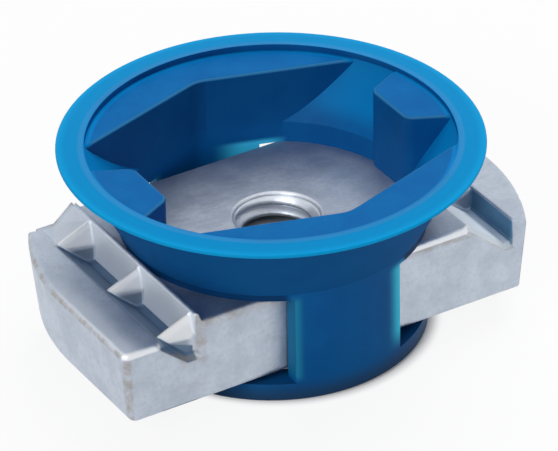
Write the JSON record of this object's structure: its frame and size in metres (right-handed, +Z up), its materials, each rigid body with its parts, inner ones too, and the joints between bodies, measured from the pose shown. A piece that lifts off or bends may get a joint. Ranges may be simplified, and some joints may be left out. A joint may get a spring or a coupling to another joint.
{
  "type": "strut channel nut",
  "caption": "Serrated steel bar nut with a metric thread, held in a moulded plastic cone that springs inside a strut channel and guides the rod into the thread.",
  "frame": {"origin": "on the thread's axis, in the plane of the underside of the cone's ring", "axes": "+Z up along the thread towards the cone's lip, +X along the bar"},
  "size_m": [0.0344, 0.0294, 0.0145],
  "materials": {
    "zinc_steel": "zinc-plated forged steel, satin",
    "blue_plastic": "moulded translucent blue plastic, satin"
  },
  "bodies": {
    "root": {"channel_nut": "zinc_steel", "cone_retainer": "blue_plastic"}
  },
  "joints": []
}
